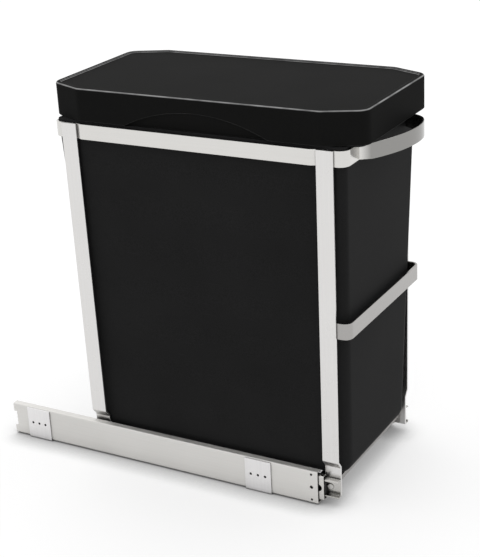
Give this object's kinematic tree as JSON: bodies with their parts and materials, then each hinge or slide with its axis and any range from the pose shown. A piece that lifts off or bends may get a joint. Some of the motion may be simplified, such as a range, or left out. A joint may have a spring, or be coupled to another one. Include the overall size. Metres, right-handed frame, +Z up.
{
  "type": "pull-out waste bin unit",
  "caption": "Pull-out waste bin for a base cabinet: flat-bar frame with a bowed front handle on ball-bearing floor slides, holding a tall lidded bin.",
  "frame": {"origin": "on the cabinet floor, under the middle of the overall box", "axes": "+X the way the bin pulls out, +Z up, +Y across; the XZ plane is the plane of symmetry"},
  "size_m": [0.5432, 0.2296, 0.491],
  "materials": {
    "rail_steel": "bright zinc plate over rolled strip",
    "bracket_steel": "bright zinc plate, satin",
    "frame_steel": "satin nickel look plate over flat bar",
    "cage_steel": "thin plated strip",
    "ball_steel": "polished bearing balls",
    "rivet_steel": "pressed rivet heads",
    "stop_rubber": "moulded, matte",
    "buffer_nylon": "moulded, smooth",
    "bin_plastic": "moulded polypropylene, fine satin grain",
    "lid_plastic": "moulded polypropylene, fine satin grain"
  },
  "bodies": {
    "cabinet_mount": {"left_outer_rail": "rail_steel", "left_front_bracket": "bracket_steel", "left_rear_bracket": "bracket_steel", "left_rear_stop": "stop_rubber", "right_outer_rail": "rail_steel", "right_front_bracket": "bracket_steel", "right_rear_bracket": "bracket_steel", "right_rear_stop": "stop_rubber"},
    "left_middle": {"left_middle_rail": "rail_steel"},
    "left_outer_race": {"left_outer_cage": "cage_steel", "left_outer_balls": "ball_steel"},
    "left_inner_race": {"left_inner_cage": "cage_steel", "left_inner_balls": "ball_steel"},
    "right_middle": {"right_middle_rail": "rail_steel"},
    "right_outer_race": {"right_outer_cage": "cage_steel", "right_outer_balls": "ball_steel"},
    "right_inner_race": {"right_inner_cage": "cage_steel", "right_inner_balls": "ball_steel"},
    "carriage": {"left_drawer_rail": "rail_steel", "left_drawer_buffer": "buffer_nylon", "left_front_upright": "frame_steel", "left_rear_upright": "frame_steel", "right_drawer_rail": "rail_steel", "right_drawer_buffer": "buffer_nylon", "right_front_upright": "frame_steel", "right_rear_upright": "frame_steel", "top_band": "frame_steel", "mid_strap": "frame_steel", "front_base_bar": "frame_steel", "rear_base_bar": "frame_steel", "frame_rivets": "rivet_steel"},
    "bin": {"bin": "bin_plastic"},
    "lid": {"lid": "lid_plastic"}
  },
  "joints": [
    {"name": "pull_out", "type": "slide", "parent": "cabinet_mount", "child": "carriage", "axis": [1, 0, 0], "range_m": [0, 0.45]},
    {"name": "left_middle_slide", "type": "slide", "parent": "cabinet_mount", "child": "left_middle", "axis": [1, 0, 0], "range_m": [0, 0.225]},
    {"name": "left_outer_race_slide", "type": "slide", "parent": "cabinet_mount", "child": "left_outer_race", "axis": [1, 0, 0], "range_m": [0, 0.1125]},
    {"name": "left_inner_race_slide", "type": "slide", "parent": "cabinet_mount", "child": "left_inner_race", "axis": [1, 0, 0], "range_m": [0, 0.3375]},
    {"name": "right_middle_slide", "type": "slide", "parent": "cabinet_mount", "child": "right_middle", "axis": [1, 0, 0], "range_m": [0, 0.225]},
    {"name": "right_outer_race_slide", "type": "slide", "parent": "cabinet_mount", "child": "right_outer_race", "axis": [1, 0, 0], "range_m": [0, 0.1125]},
    {"name": "right_inner_race_slide", "type": "slide", "parent": "cabinet_mount", "child": "right_inner_race", "axis": [1, 0, 0], "range_m": [0, 0.3375]},
    {"name": "bin_lift", "type": "slide", "parent": "carriage", "child": "bin", "axis": [0, 0, 1], "range_m": [0, 0.43]},
    {"name": "lid_lift", "type": "slide", "parent": "bin", "child": "lid", "axis": [0, 0, 1], "range_m": [0, 0.15]}
  ],
  "couplings": [
    {"joint": "left_middle_slide", "follows": "pull_out", "ratio": 0.5},
    {"joint": "left_outer_race_slide", "follows": "pull_out", "ratio": 0.25},
    {"joint": "left_inner_race_slide", "follows": "pull_out", "ratio": 0.75},
    {"joint": "right_middle_slide", "follows": "pull_out", "ratio": 0.5},
    {"joint": "right_outer_race_slide", "follows": "pull_out", "ratio": 0.25},
    {"joint": "right_inner_race_slide", "follows": "pull_out", "ratio": 0.75}
  ]
}
